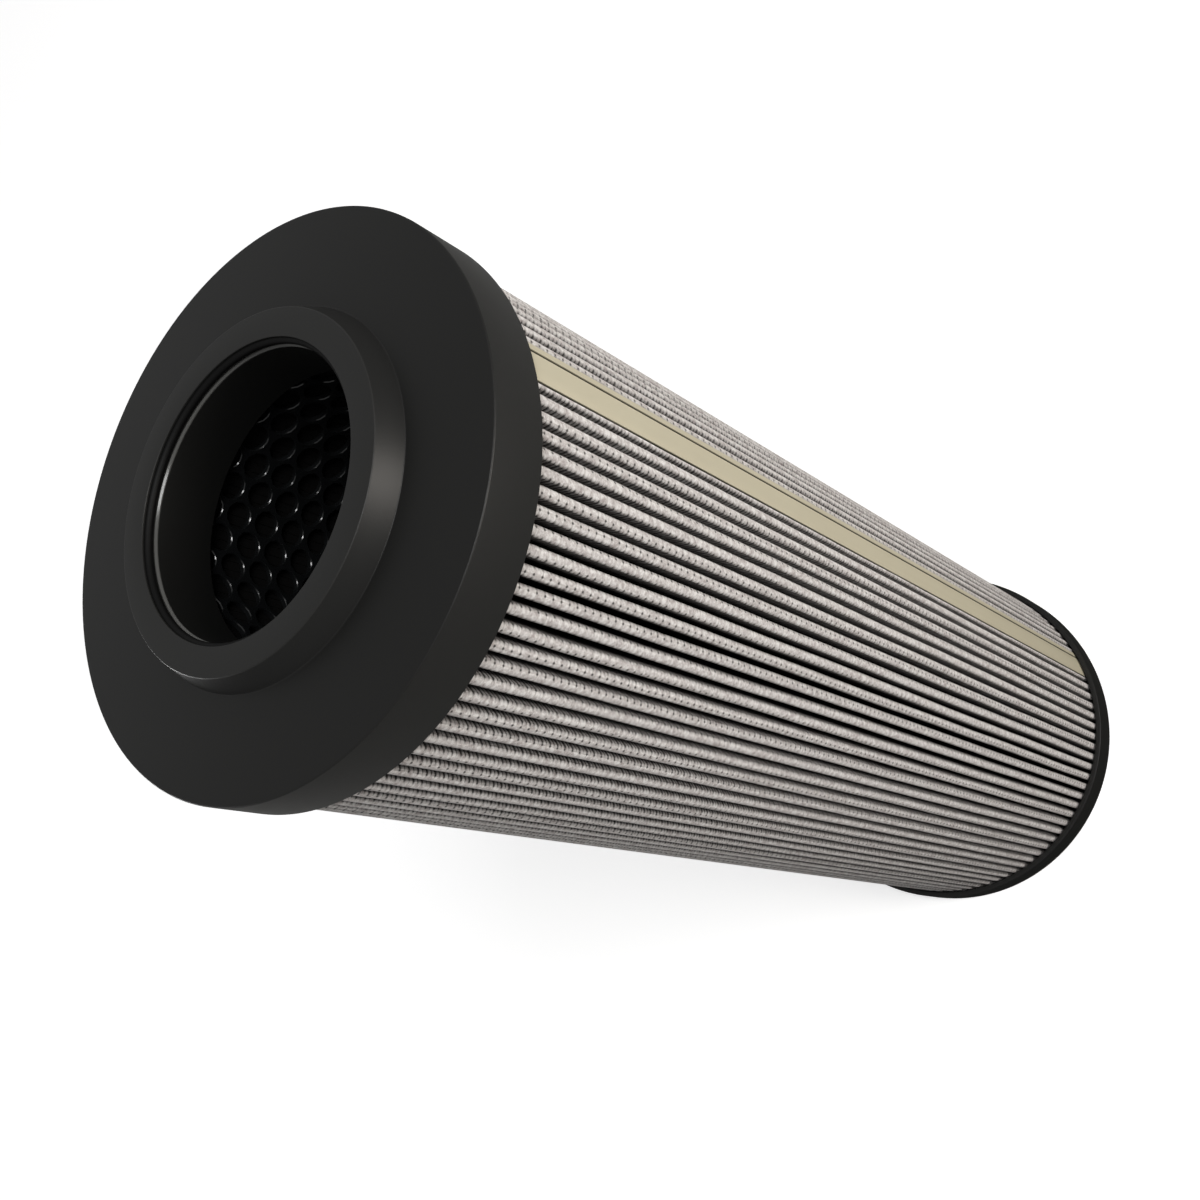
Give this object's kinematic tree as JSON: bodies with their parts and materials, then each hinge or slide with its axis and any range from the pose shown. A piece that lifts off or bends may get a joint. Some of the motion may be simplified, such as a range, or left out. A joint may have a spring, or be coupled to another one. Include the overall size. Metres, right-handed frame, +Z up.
{
  "type": "pleated filter element",
  "caption": "Cylindrical pleated filter element with black moulded end caps, a tapered open neck, wire-cloth pleats, a side seam strip and a perforated core.",
  "frame": {"origin": "centre of the closed end cap's outer face, on the surface that the element stands on", "axes": "+Z up the axis to the open neck, +X through the middle of the side seam strip"},
  "size_m": [0.0864, 0.0864, 0.2412],
  "materials": {
    "cap_plastic": "satin charcoal-black moulded plastic",
    "seal_rubber": "black rubber",
    "bed_adhesive": "black cured adhesive",
    "core_paint": "gloss black paint on perforated steel",
    "wire_cloth": "bright woven wire cloth",
    "fibre_medium": "white glass-fibre mat with a backing gauze",
    "seam_plastic": "cream satin plastic"
  },
  "bodies": {
    "root": {"open_end_cap": "cap_plastic", "neck_o_ring": "seal_rubber", "open_end_adhesive": "bed_adhesive", "core_tube": "core_paint", "outer_support_mesh": "wire_cloth", "filter_medium": "fibre_medium", "seam_strip": "seam_plastic", "closed_end_adhesive": "bed_adhesive", "closed_end_cap": "cap_plastic"}
  },
  "joints": []
}
